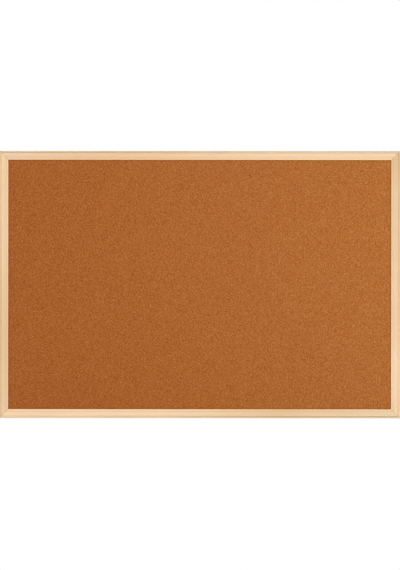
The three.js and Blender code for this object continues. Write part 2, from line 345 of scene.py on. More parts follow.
class Recipe(Wiring):
    """A Geometry Nodes tree with named sizes. It ends in real faces and a finish."""

    def __init__(self, name, sizes):
        super().__init__(bpy.data.node_groups.new(name, "GeometryNodeTree"))
        face = self.tree.interface
        face.new_socket("Result", in_out="OUTPUT", socket_type="NodeSocketGeometry")
        face.new_socket("Base", in_out="INPUT", socket_type="NodeSocketGeometry")
        for label, value in sizes.items():
            kind = "NodeSocketInt" if isinstance(value, int) else "NodeSocketFloat"
            face.new_socket(label, in_out="INPUT", socket_type=kind).default_value = value
        face.new_socket("Finish", in_out="INPUT", socket_type="NodeSocketMaterial")
        self.given = self.add("NodeGroupInput").outputs

    def stored(self, geometry, name, kind, domain, value):
        node = self.add(
            "GeometryNodeStoreNamedAttribute",
            {"Geometry": geometry, "Name": name, "Value": value},
            data_type=kind,
            domain=domain,
        )
        return node.outputs[0]

    def named(self, name, kind="FLOAT"):
        node = self.add("GeometryNodeInputNamedAttribute", {"Name": name}, data_type=kind)
        return node.outputs["Attribute"]

    def moved(self, geometry, place, only=None):
        node = self.add("GeometryNodeSetPosition", {"Geometry": geometry, "Position": place})
        if only is not None:
            self.put(node.inputs["Selection"], only)
        return node.outputs[0]

    def here(self):
        return self.add("GeometryNodeInputPosition").outputs[0]

    def random(self, seed):
        """A number from 0 to 1 of its own for each corner or face."""
        return self.add("FunctionNodeRandomValue", {"Seed": seed}).outputs["Value"]

    def grid(self, width, height, columns, rows):
        node = self.add(
            "GeometryNodeMeshGrid",
            {"Size X": width, "Size Y": height, "Vertices X": columns, "Vertices Y": rows},
        )
        return node.outputs["Mesh"]

    def end(self, geometry):
        real = self.add("GeometryNodeRealizeInstances", {0: geometry})
        smooth = self.add("GeometryNodeSetShadeSmooth", {"Geometry": real.outputs[0]})
        finished = self.add(
            "GeometryNodeSetMaterial",
            {"Geometry": smooth.outputs[0], "Material": self.given["Finish"]},
        )
        self.add("NodeGroupOutput", {0: finished.outputs[0]})
        return self.tree


def added(name, data):
    """A piece, a lamp or the camera, put into the scene."""
    item = bpy.data.objects.new(name, data)
    bpy.context.scene.collection.objects.link(item)
    return item


@contextmanager
def opened(mesh):
    """A mesh, open for work on its corners, edges and faces."""
    work = bmesh.new()
    work.from_mesh(mesh)
    yield work
    work.to_mesh(mesh)
    work.free()


def settled(piece):
    """Turns a piece with its modifiers into a plain mesh."""
    view = bpy.context.evaluated_depsgraph_get()
    mesh = bpy.data.meshes.new_from_object(piece.evaluated_get(view), depsgraph=view)
    piece.modifiers.clear()
    piece.data = mesh
    return piece


def from_recipe(name, base, tree, finish, sizes):
    """A plain mesh from a recipe, worked on a base mesh."""
    piece = added(name, base)
    step = piece.modifiers.new(tree.name, "NODES")
    step.node_group = tree
    sockets = {item.name: item.identifier for item in tree.interface.items_tree}
    for label, value in sizes.items():
        step[sockets[label]] = value
    step[sockets["Finish"]] = finish
    return settled(piece)


def outline_mesh(name, points, filled=False):
    """A closed line, or the flat face inside it, through points in the XY plane."""
    mesh = bpy.data.meshes.new(name)
    count = len(points)
    edges = [(i, (i + 1) % count) for i in range(count)]
    faces = [list(range(count))] if filled else []
    mesh.from_pydata([(x, y, 0) for x, y in points], [] if filled else edges, faces)
    return mesh


def rounded(corners, steps=6):
    """The outline through corners of (x, y, radius), each rounded off. A guard
    point on both sides of a round keeps the flats next to it flat."""
    points = []
    for i, (x, y, radius) in enumerate(corners):
        corner = Vector((x, y))
        back = (Vector(corners[i - 1][:2]) - corner).normalized()
        ahead = (Vector(corners[(i + 1) % len(corners)][:2]) - corner).normalized()
        half = back.angle(ahead) / 2
        reach = radius / math.tan(half)
        centre = corner + (back + ahead).normalized() * (radius / math.sin(half))
        first = (corner + back * reach - centre).normalized()
        last = (corner + ahead * reach - centre).normalized()
        points.append(corner + back * (reach + guard))
        points += [centre + first.slerp(last, step / steps) * radius for step in range(steps + 1)]
        points.append(corner + ahead * (reach + guard))
    return points


def arc(centre, radius, start, end, steps=14):
    """Points along an arc from one angle to another."""
    turns = [start + (end - start) * step / steps for step in range(steps + 1)]
    return [centre + Vector((math.cos(turn), math.sin(turn))) * radius for turn in turns]


def disc(centre, radius, sides):
    return arc(centre, radius, 0, math.tau, sides)[:-1]


def bridge(work, low, high):
    """Joins two rings of corners with faces."""
    for i in range(len(low)):
        j = (i + 1) % len(low)
        work.faces.new((low[i], low[j], high[j], high[i]))


def extruded(name, points, start, end, matrix):
    """A piece that is a prism over an outline in the XY plane, between two heights."""
    mesh = bpy.data.meshes.new(name)
    with opened(mesh) as work:
        low, high = [[work.verts.new((x, y, z)) for x, y in points] for z in (start, end)]
        work.faces.new(reversed(low))
        work.faces.new(high)
        bridge(work, low, high)
        bmesh.ops.recalc_face_normals(work, faces=work.faces)
    mesh.transform(matrix)
    return added(name, mesh)


def turned_piece(name, rings, sides):
    """A closed turned piece about z from its rings, each a height and a radius for
    each direction, with a pole at both ends."""
    turns = [math.tau * side / sides for side in range(sides)]
    mesh = bpy.data.meshes.new(name)
    with opened(mesh) as work:
        built = []
        for height, radius in rings:
            spokes = [(radius(turn), turn) for turn in turns]
            built.append([
                work.verts.new((out * math.cos(turn), out * math.sin(turn), height))
                for out, turn in spokes
            ])
        for low, high in zip(built, built[1:]):
            bridge(work, low, high)
        for ring, height in ((built[0], rings[0][0]), (built[-1], rings[-1][0])):
            pole = work.verts.new((0, 0, height))
            for i in range(sides):
                work.faces.new((ring[i], pole, ring[(i + 1) % sides]))
        bmesh.ops.recalc_face_normals(work, faces=work.faces)
    return added(name, mesh)


def sealed(piece):
    """Splits an edge where a loose corner lies on it, and welds corners that meet."""
    with opened(piece.data) as work:
        corners = [corner for corner in work.verts if corner.is_boundary]
        for edge in [edge for edge in work.edges if edge.is_boundary]:
            start, end = edge.verts
            run = end.co - start.co
            for corner in corners:
                share = (corner.co - start.co).dot(run) / run.length_squared
                off = (start.co + run * share - corner.co).length
                if corner not in (start, end) and 0 < share < 1 and off < weld:
                    bmesh.utils.edge_split(edge, start, share)
                    break
        bmesh.ops.remove_doubles(work, verts=work.verts, dist=weld)
    return piece


def carved(piece, cutters, how="DIFFERENCE"):
    """Cuts a piece with other objects, which are used up."""
    for cutter in cutters:
        step = piece.modifiers.new("cut", "BOOLEAN")
        step.operation = how
        step.solver = "EXACT"
        step.object = cutter
    settled(piece)
    for cutter in cutters:
        bpy.data.objects.remove(cutter)
    return sealed(piece)


def mounted(piece, body, nodes, finish=None):
    """Gives a finished piece its crisp edges, its finish and its place in the frame."""
    if finish is not None:
        piece.data.materials.clear()
        piece.data.materials.append(finish)
    with opened(piece.data) as work:
        bmesh.ops.recalc_face_normals(work, faces=work.faces)
        for edge in work.edges:
            edge.smooth = edge.calc_face_angle(0) < crisp_angle
    for mark in ("section", "inward", "ring", "thinned", "crest"):
        if mark in piece.data.attributes:
            piece.data.attributes.remove(piece.data.attributes[mark])
    piece.data.shade_smooth()
    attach(piece, body)
    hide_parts(*nodes)


# Finishes
class Finish(Wiring):
    """A material on the piece's own coordinates, with its shader's plain settings."""

    def __init__(self, name, **settings):
        self.material = bpy.data.materials.new(name)
        self.material.use_nodes = True
        super().__init__(self.material.node_tree)
        self.tree.nodes.clear()
        self.shader = self.add("ShaderNodeBsdfPrincipled")
        self.output = self.add("ShaderNodeOutputMaterial", {"Surface": self.shader.outputs[0]})
        for label, value in settings.items():
            self.shader.inputs[label.replace("_", " ")].default_value = value
        self.place = self.add("ShaderNodeTexCoord").outputs["Object"]

    def turned(self, turn, shift):
        """The piece's coordinates, turned and then moved."""
        node = self.add("ShaderNodeMapping", {"Vector": self.place}, vector_type="POINT")
        node.inputs["Rotation"].default_value = turn
        node.inputs["Location"].default_value = shift
        return node.outputs[0]

    def noise(self, place, scale, detail=2.0, roughness=0.5, distortion=0.0):
        node = self.add(
            "ShaderNodeTexNoise",
            {
                "Vector": place,
                "Scale": scale,
                "Detail": detail,
                "Roughness": roughness,
                "Distortion": distortion,
            },
        )
        return node.outputs["Fac"]

    def drawn(self, place, scales, detail=2.0, roughness=0.5, distortion=0.0):
        """Noise with its own scale in each direction, so that it runs out in lines."""
        stretched = self.vector("MULTIPLY", place, scales)
        return self.noise(stretched, 1.0, detail, roughness, distortion)

    def cells(self, place, scale):
        return self.add("ShaderNodeTexVoronoi", {"Vector": place, "Scale": scale}).outputs

    def attribute(self, name):
        return self.add("ShaderNodeAttribute", attribute_name=name).outputs["Fac"]

    def swing(self, value, width):
        """How far a value leans from its middle at one half, times a width."""
        return self.product(self.less(value, 0.5), width)

    def inset(self, margin=0.0):
        """How far a point lies inside the board's side edges, its ends and the nearer
        of the two, less a margin."""
        across, _, up = self.parts(self.place)
        side = self.less(board_width / 2 - margin, self.math("ABSOLUTE", across))
        end = self.less(board_height / 2 - margin, self.math("ABSOLUTE", up))
        return side, end, self.math("MINIMUM", side, end)

    def blended(self, share, a, b):
        node = self.add("ShaderNodeMix", data_type="RGBA", blend_type="MIX")
        self.put(node.inputs[0], share)
        self.put(node.inputs[6], a)
        self.put(node.inputs[7], b)
        return node.outputs[2]

    def ramp(self, share, *stops):
        node = self.add("ShaderNodeValToRGB", {"Fac": share})
        band = node.color_ramp
        while len(band.elements) < len(stops):
            band.elements.new(0.5)
        for element, (at, colour) in zip(band.elements, stops):
            element.position = at
            element.color = colour
        return node.outputs["Color"]

    def done(self, colour, roughness=None, height=None, depth=0.0):
        self.put(self.shader.inputs["Base Color"], colour)
        if roughness is not None:
            self.put(self.shader.inputs["Roughness"], roughness)
        if height is not None:
            bump = self.add("ShaderNodeBump", {"Height": height, "Distance": depth})
            self.put(self.shader.inputs["Normal"], bump.outputs[0])
        return self.material


def pine(stick, upright):
    """Lacquered pine with its grain along the piece: pale wood, thin darker late
    rings that run nearly parallel, fine fibres, a few resin flecks, a slow change
    of tone along the length, and painted light and shade across the moulding."""
    f = Finish(f"pine_{stick['name']}", Roughness=0.42, Specular_IOR_Level=0.4)
    wood = f.turned((0, math.pi / 2, 0) if upright else (0, 0, 0), stick["cut"])
    x, y, z = f.parts(wood)

    # The log's heart lies behind and below, and wanders a little.
    sway = f.drawn(wood, (4.8, 12.8, 1.6), detail=3.0)
    heart_y = f.total(y, pith_behind, f.product(x, 0.013))
    heart_z = f.total(z, pith_below, f.product(sway, 0.012))
    radius = f.distance(heart_y, heart_z)
    uneven = f.product(f.noise(f.point(0.0, 0.0, radius), 140.0, detail=1.0), 2.2)
    year = f.math("FRACT", f.total(f.math("DIVIDE", radius, year_ring), uneven))
    late = f.math("POWER", f.ranged(year, 0.1, 0.93), 3.0)
    late = f.product(late, f.ranged(year, 1.0, 0.93))

    # The wood's tone changes from one end of the stick to the other, and is darker
    # over the stretch that was cut nearer to the heart.
    across, out, up = f.parts(f.place)
    half = (board_height if upright else board_width) / 2
    share = f.ranged(up if upright else across, -half, half)
    run = f.total(share, f.swing(f.drawn(wood, (6.6, 3.0, 3.0)), 0.9))
    start, end = stick["ends"]
    middle, reach, tint = stick["heart"]
    off_heart = f.math("ABSOLUTE", f.less(share, middle))
    hearty = f.ranged(off_heart, 0.0, reach, 1.0, 0.0, smooth=True)
    early = f.blended(run, srgb(*start), srgb(*end))
    early = f.vector("MULTIPLY", early, f.blended(hearty, no_tint, tint))
    colour = f.blended(f.product(late, 0.3), early, srgb(212, 165, 116))

    fibre = f.drawn(wood, (26.0, 1500.0, 1500.0), detail=4.0, roughness=0.65)
    broad = f.drawn(wood, (5.0, 260.0, 260.0))
    fleck = f.drawn(wood, (150.0, 1700.0, 1700.0), detail=1.0)
    tone = f.total(1.0, f.swing(fibre, 0.16), f.swing(broad, 0.16))
    tone = f.less(tone, f.ranged(fleck, 0.7, 0.8, 0.0, 0.12))

    # Painted light and shade across the moulding: the ledge gets its own painted light
    # on each side, both quirks get painted shade, the face a painted highlight by its outer
    # quirk and the bead a warm painted highlight. The back is bare and of one tone.
    from_side, from_end, from_edge = f.inset()
    inset = f.math("DIVIDE", from_edge, rail_width)
    painted_shading = f.ramp(
        inset,
        (0.0, no_tint),
        (0.03, stick["ledge"]),
        (0.11, stick["ledge"]),
        (0.16, no_tint),
        (0.19, (0.84, 0.82, 0.8, 1)),
        (0.21, (0.88, 0.86, 0.84, 1)),
        (0.23, (1.07, 1.05, 1.04, 1)),
        (0.34, no_tint),
        (0.72, (0.96, 0.97, 0.99, 1)),
        (0.75, (0.86, 0.85, 0.84, 1)),
        (0.79, (0.99, 0.94, 0.91, 1)),
        (1.0, (1.2, 1.1, 0.96, 1)),
    )
    front = f.ranged(out, back_y - painted_over_back[0], back_y - painted_over_back[1])
    colour = f.vector("MULTIPLY", colour, f.blended(front, no_tint, painted_shading))

    # Painted shade in the outer groove, by its own amount at each end of the stick; a negative
    # amount paints it lighter.
    groove = f.product(f.ranged(inset, 0.14, 0.18), f.ranged(inset, 0.24, 0.21))
    groove_shade = f.product(groove, front, f.ranged(run, 0.0, 1.0, *stick["groove_shade"]))
    tone = f.product(tone, f.less(1.0, groove_shade))

    # Glue has darkened both sides of the mitre.
    off_mitre = f.math("ABSOLUTE", f.less(from_side, from_end))
    tone = f.product(tone, f.ranged(off_mitre, *mitre_stain, 0.8, 1.0, smooth=True))
    relief = f.total(f.product(fibre, 0.6), f.product(late, 0.4))
    rough = f.ranged(fibre, 0.25, 0.75, 0.36, 0.5)
    return f.done(f.scaled(colour, tone), rough, relief, depth=0.05 * MM)


def pressed_cork():
    """Fine cork crumbs, each with its own tone, in paler and darker knots; a few
    are bark, and shade is painted into the grooves between the pressed granules."""
    f = Finish("pressed_cork", Roughness=0.9, Specular_IOR_Level=0.12)

    # Turned, so that nothing lines up with the edges of the sheet.
    sheet = f.turned((0, 0.6, 0), (0, -cork_face_y, 0))
    bend = f.add("ShaderNodeTexNoise", {"Vector": sheet, "Scale": 330.0, "Detail": 1.0})
    pushed = f.vector("SUBTRACT", bend.outputs["Color"], (0.5, 0.5, 0.5))
    crumbs = f.cells(f.vector("ADD", sheet, f.scaled(pushed, crumb_size)), 1 / crumb_size)
    crumb, odd, _ = f.parts(crumbs["Color"])
    dust = f.noise(sheet, 1 / dust_size, detail=3.0, roughness=0.6)
    mix = f.total(
        0.5,
        f.swing(crumb, 0.25),
        f.swing(f.noise(sheet, 1 / knot_size, detail=0.0), 0.56),
        f.swing(f.attribute("tone"), 0.03),
        f.swing(dust, 0.28),
        f.swing(f.noise(sheet, 26.0), 0.03),
    )
    colour = f.ramp(
        mix,
        (0.0, srgb(132, 54, 5)),
        (0.3, srgb(157, 81, 25)),
        (0.52, srgb(177, 104, 47)),
        (0.75, srgb(195, 128, 74)),
        (1.0, srgb(212, 154, 107)),
    )
    bark = f.ranged(dust, 0.3, 0.65, 0.2, 0.7, smooth=True)
    bark = f.product(f.ranged(odd, 0.955, 0.965), bark)
    colour = f.blended(bark, colour, srgb(106, 52, 20))
    # Painted shade: the grooves between the granules are painted darker.
    gap_shade = f.math("POWER", f.attribute("groove"), 3.0)
    colour = f.scaled(colour, f.ranged(gap_shade, 0.0, 1.0, 1.0, 0.94))

    # Painted light: the sheet is painted darker at the left and paler at the right, as the light
    # falls across it.
    across = f.parts(f.place)[0]
    towards_right = f.ranged(across, -board_width / 2, board_width / 2)
    side_light = f.blended(towards_right, (0.93, 0.88, 0.86, 1), (1.07, 1.15, 1.16, 1))
    colour = f.vector("MULTIPLY", colour, side_light)

    # Painted shade darkens the sheet where it meets the frame, as the frame's lip shadows it.
    rim = f.inset(rail_width)[2]
    unshaded = f.ranged(rim, *rim_shade, 0.0, 1.0, smooth=True)
    colour = f.vector("MULTIPLY", colour, f.blended(unshaded, (0.81, 0.9, 0.9, 1), no_tint))
    relief = f.total(f.product(crumb, 0.35), f.product(dust, 0.65))
    return f.done(colour, f.ranged(dust, 0.3, 0.7, 0.82, 0.95), relief, depth=0.22 * MM)


def kraft_paper():
    """Brown backing paper with long pulp fibres, faint ribs and darker shives."""
    f = Finish("kraft_paper", Roughness=0.8, Specular_IOR_Level=0.25)
    along, over = (260.0, 0.0, 1100.0), (1000.0, 0.0, 300.0)
    fibres = f.drawn(f.place, along, detail=4.0, roughness=0.7, distortion=0.4)
    cross = f.drawn(f.place, over, detail=3.0, roughness=0.7, distortion=0.6)
    cloud = f.noise(f.place, 38.0, detail=4.0, roughness=0.6)
    ribs = f.math("SINE", f.product(f.parts(f.place)[0], math.tau / paper_rib))
    shive = f.drawn(f.place, (420.0, 0.0, 900.0), detail=1.0)
    shive = f.ranged(shive, 0.72, 0.78, 0.0, 0.4)
    tone = f.total(1.0, f.swing(fibres, 0.3), f.swing(cross, 0.22), f.swing(cloud, 0.16))
    tone = f.total(tone, f.product(ribs, 0.012))
    colour = f.scaled(f.blended(shive, srgb(186, 146, 100), srgb(120, 84, 48)), tone)
    relief = f.total(f.product(fibres, 0.6), f.product(cross, 0.4))
    return f.done(colour, f.ranged(cloud, 0.3, 0.7, 0.74, 0.86), relief, depth=0.06 * MM)


def softboard():
    """Felted wood fibre, seen only at a cut edge."""
    f = Finish("softboard", Roughness=0.95, Specular_IOR_Level=0.1)
    felt = f.noise(f.place, 900.0, detail=4.0, roughness=0.7, distortion=1.0)
    layers = f.drawn(f.place, (60.0, 1400.0, 60.0), detail=3.0)
    colour = f.ramp(
        felt,
        (0.25, srgb(150, 122, 88)),
        (0.55, srgb(182, 154, 116)),
        (0.8, srgb(206, 180, 142)),
    )
    colour = f.scaled(colour, f.total(1.0, f.swing(layers, 0.2)))
    return f.done(colour, height=felt, depth=0.3 * MM)


def zinc_plate():
    """Bright zinc over pressed steel: a soft mottle, fine drawing lines, and
    duller patches where it was handled."""
    f = Finish("zinc_plate", Metallic=1.0, Roughness=0.3)
    lines = f.drawn(f.place, (9000.0, 700.0, 700.0), detail=3.0, roughness=0.6)
    mottle = f.noise(f.place, 900.0, detail=4.0, roughness=0.6)
    handled = f.noise(f.place, 160.0, detail=3.0, roughness=0.6)
    colour = f.blended(f.ranged(mottle, 0.35, 0.65), srgb(184, 188, 194), srgb(208, 211, 214))
    colour = f.blended(f.ranged(handled, 0.55, 0.75, 0.0, 0.5), colour, srgb(170, 168, 160))
    rough = f.total(f.ranged(handled, 0.35, 0.7, 0.2, 0.42), f.swing(lines, 0.16))
    return f.done(colour, rough, f.total(lines, mottle), depth=0.006 * MM)


def spring_steel():
    """Blued spring steel, darker in blotches, with bright scratches."""
    f = Finish("spring_steel", Metallic=1.0, Roughness=0.4)
    blotch = f.noise(f.place, 700.0, detail=4.0, roughness=0.6)
    scratch = f.drawn(f.place, (5000.0, 300.0, 5000.0))
    colour = f.ramp(
        blotch,
        (0.3, srgb(112, 116, 124)),
        (0.55, srgb(146, 149, 156)),
        (0.75, srgb(160, 158, 152)),
    )
    colour = f.blended(f.ranged(scratch, 0.62, 0.72, 0.0, 0.6), colour, srgb(198, 199, 202))
    return f.done(colour, f.ranged(blotch, 0.3, 0.7, 0.32, 0.52), scratch, depth=0.01 * MM)


def black_rubber():
    """Matt moulded rubber with a faint bloom and a grained skin."""
    f = Finish("black_rubber", Roughness=0.7, Specular_IOR_Level=0.35)
    skin = f.noise(f.place, 2600.0, detail=3.0, roughness=0.6)
    bloom = f.noise(f.place, 420.0, detail=4.0, roughness=0.65)
    colour = f.ramp(
        bloom,
        (0.35, srgb(34, 34, 36)),
        (0.6, srgb(46, 46, 48)),
        (0.8, srgb(70, 69, 68)),
    )
    return f.done(colour, f.ranged(skin, 0.3, 0.7, 0.6, 0.8), skin, depth=0.05 * MM)


# Frame
def moulding_recipe():
    """Sweeps the moulding's outline along a side of the frame and mitres both
    ends. The side's own axes are x along it from its outer corner, -y up from its
    back and z in towards the middle of the board."""
    r = Recipe(
        "mitred moulding",
        {"Length": board_width, "Glue line": glue_line, "Eased end": eased_end, "Rings": 40},
    )
    given = r.given
    outline = r.stored(given["Base"], "section", "FLOAT_VECTOR", "POINT", r.here())
    profile = r.add("GeometryNodeMeshToCurve", {0: outline}).outputs[0]
    line = r.add("GeometryNodeCurvePrimitiveLine", {"End": r.point(given["Length"], 0.0, 0.0)})
    path = r.add("GeometryNodeResampleCurve", {"Curve": line.outputs[0], "Count": given["Rings"]})
    index = r.add("GeometryNodeInputIndex").outputs[0]
    path = r.stored(path.outputs[0], "ring", "FLOAT", "POINT", index)
    swept = r.add(
        "GeometryNodeCurveToMesh",
        {"Curve": path, "Profile Curve": profile, "Fill Caps": True},
    )
    ring = r.named("ring")
    last = r.less(given["Rings"], 1.0)
    at_start = r.ranged(ring, 0.0, 1.0, 1.0, 0.0)
    at_end = r.ranged(r.less(last, ring), 0.0, 1.0, 1.0, 0.0)
    eased = given["Eased end"]
    drawn_in = r.product(eased, r.total(at_start, at_end))
    inward = r.scaled(r.named("inward", "FLOAT_VECTOR"), drawn_in)
    across, height, _ = r.parts(r.vector("ADD", r.named("section", "FLOAT_VECTOR"), inward))
    set_back = r.total(across, given["Glue line"])
    start = r.total(set_back, r.product(eased, r.less(1.0, at_start)))
    end = r.total(set_back, r.product(eased, r.less(1.0, at_end)))
    span = r.less(r.less(given["Length"], end), start)
    share = r.ranged(ring, 1.0, r.less(last, 1.0))
    along = r.math("MULTIPLY_ADD", span, share, start)
    place = r.point(along, r.product(height, -1.0), across)
    return r.end(r.moved(swept.outputs[0], place))


def moulding_outline():
    """The moulding's section, each point marked with the way in from its skin."""
    points = rounded(moulding_corners)
    mesh = outline_mesh("moulding outline", points)
    inward = mesh.attributes.new("inward", "FLOAT_VECTOR", "POINT")
    for i in range(len(points)):
        ahead = (points[(i + 1) % len(points)] - points[i - 1]).normalized()
        inward.data[i].vector = (-ahead.y, ahead.x, 0)
    return mesh


def corner_frame(quarter):
    """The place and turn of a corner, counted from the bottom left: its x runs
    along the mitre towards the middle of the board and its z into the wood."""
    side = (-1, 1, 1, -1)[quarter]
    level = (-1, -1, 1, 1)[quarter]
    angle = math.atan2(-level, -side)
    basis = Matrix((
        (math.cos(angle), -math.sin(angle), 0),
        (0, 0, -1),
        (math.sin(angle), math.cos(angle), 0),
    )).to_4x4()
    corner = Vector((side * board_width / 2, back_y, level * board_height / 2))
    return Matrix.Translation(corner) @ basis


def nail_outline(thickness, wing):
    """A V with its bend at the origin, opening along x."""
    apex = thickness / 2 / math.sin(nail_spread)
    reach = Vector((math.cos(nail_spread), math.sin(nail_spread))) * wing
    side = Vector((math.sin(nail_spread), -math.cos(nail_spread))) * thickness / 2
    return [
        Vector((-apex, 0)),
        Vector((reach.x - side.x, side.y - reach.y)),
        Vector((reach.x + side.x, -side.y - reach.y)),
        Vector((apex, 0)),
        Vector((reach.x + side.x, reach.y + side.y)),
        Vector((reach.x - side.x, reach.y - side.y)),
    ]


def nail_slots(quarter):
    """The cuts that the two nails of a corner have made, as cutters."""
    slots = []
    for share in nail_place_shares:
        outline = nail_outline(nail_thickness + 2 * torn_wood, nail_wing + torn_wood)
        along_mitre = Vector((web_width * share * math.sqrt(2), 0))
        placed = [point + along_mitre for point in outline]
        deep = nail_sink + nail_depth + torn_wood
        slots.append(extruded("slot", placed, -overrun, deep, corner_frame(quarter)))
    return slots


def pilot_hole(side):
    """The hole for a hanger's screw, as a cutter. The side is -1 or 1."""
    circle = disc(Vector((0, 0)), pilot_radius, 48)
    centre = Vector((side * hinge_across, back_y, hinge_height - screw_drop))
    place = Matrix.Translation(centre) @ z_to_front
    return extruded("pilot", circle, -overrun, pilot_depth, place)


def add_frame():
    tree = moulding_recipe()
    for quarter, stick in enumerate(sticks):
        name = stick["name"]
        upright = quarter % 2 == 1
        length, span = (board_height, board_width) if upright else (board_width, board_height)
        piece = from_recipe(
            f"{name}_moulding",
            moulding_outline(),
            tree,
            pine(stick, upright),
            {"Length": length},
        )
        place = Matrix.Translation((-length / 2, back_y, -span / 2))
        piece.data.transform(Matrix.Rotation(-quarter * math.pi / 2, 4, "Y") @ place)
        cutters = nail_slots(quarter) + nail_slots((quarter + 1) % 4)
        if upright:
            cutters.append(pilot_hole(1 if quarter == 1 else -1))
        mounted(carved(piece, cutters), "board", [name])


# V-nails
def nail_recipe():
    """Draws a V out to a thin edge and sets a copy at both places in all four corners."""
    r = Recipe(
        "corner nails",
        {"Across": board_width, "Up": board_height, "Web": web_width, "Depth": nail_depth},
    )
    given = r.given
    drawn = r.add(
        "GeometryNodeExtrudeMesh",
        {"Mesh": given["Base"], "Offset": r.point(0.0, 0.0, given["Depth"]), "Individual": False},
    )
    thinned = r.named("thinned", "FLOAT_VECTOR")
    edge = r.vector("ADD", thinned, r.point(0.0, 0.0, given["Depth"]))
    bar = r.moved(drawn.outputs["Mesh"], edge, drawn.outputs["Top"])
    closed = r.add("GeometryNodeJoinGeometry", {0: bar})
    r.put(closed.inputs[0], r.add("GeometryNodeFlipFaces", {0: given["Base"]}).outputs[0])
    nail = r.add(
        "GeometryNodeMergeByDistance",
        {"Geometry": closed.outputs[0], "Distance": weld},
    )
    rows = r.add("GeometryNodeJoinGeometry")
    for share in nail_place_shares:
        inset = r.product(given["Web"], 2 * share)
        row = r.grid(r.less(given["Across"], inset), r.less(given["Up"], inset), 2, 2)
        r.put(rows.inputs[0], row)
    x, y, _ = r.parts(r.here())
    inwards = r.math(
        "ARCTAN2",
        r.math("SIGN", r.product(y, -1.0)),
        r.math("SIGN", r.product(x, -1.0)),
    )
    turn = r.add("FunctionNodeEulerToRotation", {0: r.point(0.0, 0.0, inwards)})
    placed = r.add(
        "GeometryNodeInstanceOnPoints",
        {"Points": rows.outputs[0], "Instance": nail.outputs[0], "Rotation": turn.outputs[0]},
    )
    return r.end(placed.outputs[0])


def add_nails():
    mesh = outline_mesh("nail outline", nail_outline(nail_thickness, nail_wing), filled=True)
    thinned = mesh.attributes.new("thinned", "FLOAT_VECTOR", "POINT")
    for i, point in enumerate(nail_outline(nail_thickness * nail_edge_share, nail_wing)):
        thinned.data[i].vector = (point.x, point.y, 0)
    piece = from_recipe("corner_nails", mesh, nail_recipe(), spring_steel(), {})
    piece.data.transform(Matrix.Translation((0, back_y - nail_sink, 0)) @ z_to_front)
    nodes = [
        f"v_nail_{corner}_{row}"
        for corner in ("top_left", "top_right", "bottom_left", "bottom_right")
        for row in ("outer", "inner")
    ]
    mounted(piece, "board", nodes)


# Panel
def granule_recipe():
    """A sheet of pressed granules in the XY plane: cells of uneven size, each one
    a low dome with its own tone, with grooves between them."""
    r = Recipe(
        "pressed granules",
        {
            "Width": sheet_width,
            "Height": sheet_height,
            "Granule": 4.3 * MM,
            "Scatter": 0.36,
            "Groove": 0.34 * MM,
            "Held rim": 0.1 * MM,
            "Peak": 0.02 * MM,
            "Seed": 11,
        },
    )
    given = r.given

    # The granules' middles, in rows that are staggered and then shaken.
    between = r.product(given["Granule"], row_pitch_share)
    columns = r.math("FLOOR", r.math("DIVIDE", given["Width"], between))
    rows = r.math("FLOOR", r.math("DIVIDE", given["Height"], given["Granule"]))
    grid = r.grid(given["Width"], given["Height"], columns, rows)
    index = r.add("GeometryNodeInputIndex").outputs[0]
    column = r.math("FLOOR", r.math("DIVIDE", r.total(index, 0.5), rows))
    step = r.less(r.math("MODULO", column, 2.0), 0.5)
    here = r.here()
    x, y, _ = r.parts(here)
    to_side = r.less(r.product(given["Width"], 0.5), r.math("ABSOLUTE", x))
    to_end = r.less(r.product(given["Height"], 0.5), r.math("ABSOLUTE", y))
    inside = r.math("GREATER_THAN", r.math("MINIMUM", to_side, to_end), given["Held rim"])
    scatter = r.add(
        "FunctionNodeRandomValue",
        {"Min": (-1.0, -1.0, 0.0), "Max": (1.0, 1.0, 0.0), "Seed": given["Seed"]},
        data_type="FLOAT_VECTOR",
    )
    shaken = r.scaled(scatter.outputs["Value"], r.product(given["Granule"], given["Scatter"]))
    staggered = r.point(0.0, r.product(step, given["Granule"], 0.5), 0.0)
    offset = r.scaled(r.vector("ADD", shaken, staggered), inside)
    laid = r.moved(grid, r.vector("ADD", here, offset))

    # A cell round each middle, raised to a peak and lowered again to a dome.
    laced = r.add("GeometryNodeTriangulate", {0: laid}, quad_method="SHORTEST_DIAGONAL")
    cells = r.add("GeometryNodeDualMesh", {0: laced.outputs[0], "Keep Boundaries": True})
    toned = r.stored(cells.outputs[0], "tone", "FLOAT", "FACE", r.random(given["Seed"]))
    raised = r.add(
        "GeometryNodeExtrudeMesh",
        {"Mesh": toned, "Offset Scale": given["Groove"], "Individual": True},
    )
    marked = r.stored(raised.outputs["Mesh"], "crest", "BOOLEAN", "POINT", raised.outputs["Top"])
    peaked = r.add(
        "GeometryNodeScaleElements",
        {"Geometry": marked, "Selection": raised.outputs["Top"], "Scale": 0.0},
    )
    crest = r.named("crest", "BOOLEAN")
    merged = r.add(
        "GeometryNodeMergeByDistance",
        {"Geometry": peaked.outputs[0], "Selection": crest, "Distance": given["Peak"]},
    )
    own_depth = r.ranged(r.random(given["Seed"]), 0.0, 1.0, 1.0, 0.6)
    share = r.less(own_depth, r.product(crest, 0.6))
    depth = r.product(r.math("MAXIMUM", share, 0.0), given["Groove"], -1.0)
    pressed = r.moved(merged.outputs[0], r.point(x, y, depth))
    grooved = r.stored(pressed, "groove", "FLOAT", "POINT", r.less(1.0, crest))
    drawn_up = r.math("DIVIDE", face_share, given["Width"])
    flat = r.point(
        r.math("MULTIPLY_ADD", x, drawn_up, 0.5),
        r.math("MULTIPLY_ADD", y, drawn_up, face_level),
        0.0,
    )
    mapped = r.stored(grooved, "OFBake", "FLOAT2", "CORNER", flat)
    return r.end(mapped)


